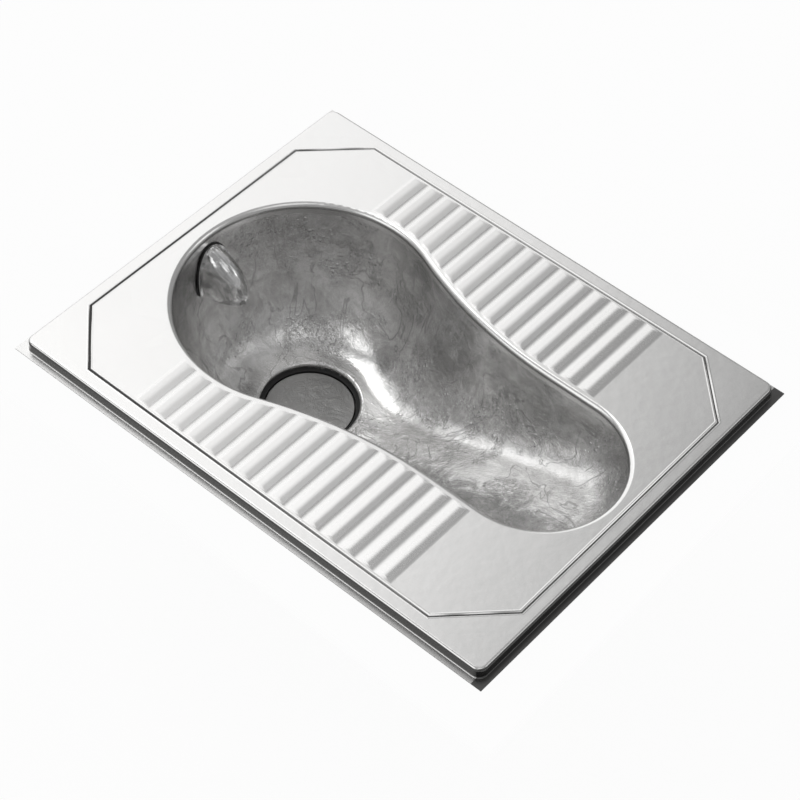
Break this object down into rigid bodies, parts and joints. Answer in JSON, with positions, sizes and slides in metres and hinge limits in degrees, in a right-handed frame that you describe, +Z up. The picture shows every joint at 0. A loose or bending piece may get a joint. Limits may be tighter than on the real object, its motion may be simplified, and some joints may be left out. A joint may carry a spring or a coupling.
{
  "type": "squat toilet pan",
  "caption": "Built-in stainless steel squat toilet pan with ribbed footrests, keyhole bowl, flush hood and a counterweighted odour flap below the drain.",
  "frame": {"origin": "middle of the deck lip's underside, which is the finished floor level", "axes": "+X towards the narrow end of the bowl, +Z up, -Y the near side in the picture"},
  "size_m": [0.599, 0.464, 0.294],
  "materials": {
    "deck_steel": "satin pressed stainless steel",
    "bowl_steel": "satin drawn stainless steel",
    "hood_chrome": "bright chrome",
    "black_rubber": "matte black rubber",
    "plated_steel": "bright zinc plate",
    "flange_steel": "plain stainless steel",
    "flap_steel": "dull stainless steel",
    "housing_plastic": "dark grey moulded plastic",
    "bush_plastic": "natural nylon",
    "weight_iron": "painted cast iron",
    "support_steel": "galvanised steel",
    "pad_rubber": "black damping sheet",
    "earth_brass": "plain brass"
  },
  "bodies": {
    "pan": {"deck_plate": "deck_steel", "bowl_shell": "bowl_steel", "spout_hood": "hood_chrome", "spout_gasket": "black_rubber", "inlet_saddle": "black_rubber", "seat_gasket": "black_rubber", "inlet_tail": "plated_steel", "inlet_washer": "plated_steel", "inlet_locknut": "plated_steel", "flange_washers": "plated_steel", "flange_nuts": "plated_steel", "outlet_flange": "flange_steel", "valve_housing": "housing_plastic", "waste_spigot": "housing_plastic", "shaft_bush_near": "bush_plastic", "shaft_bush_far": "bush_plastic", "stiffener_near": "support_steel", "stiffener_far": "support_steel", "anchor_lug_1": "support_steel", "anchor_lug_2": "support_steel", "anchor_lug_3": "support_steel", "anchor_lug_4": "support_steel", "earth_tag": "support_steel", "damping_pad_1": "pad_rubber", "damping_pad_2": "pad_rubber", "damping_pad_3": "pad_rubber", "damping_pad_4": "pad_rubber", "earth_bolt": "earth_brass", "earth_washer": "earth_brass", "earth_nut": "earth_brass"},
    "flap": {"flap_plate": "flap_steel", "flap_bracket": "flange_steel", "flap_shaft": "flange_steel", "hub_pin": "plated_steel", "lever_near": "flange_steel", "lever_far": "flange_steel", "counterweight": "weight_iron", "weight_screws": "plated_steel", "lever_screws": "plated_steel"}
  },
  "joints": [
    {"name": "flap_hinge", "type": "hinge", "parent": "pan", "child": "flap", "pos_m": [-0.062, 0, -0.1673], "axis": [0, -1, 0], "range_deg": [0, 60]}
  ]
}
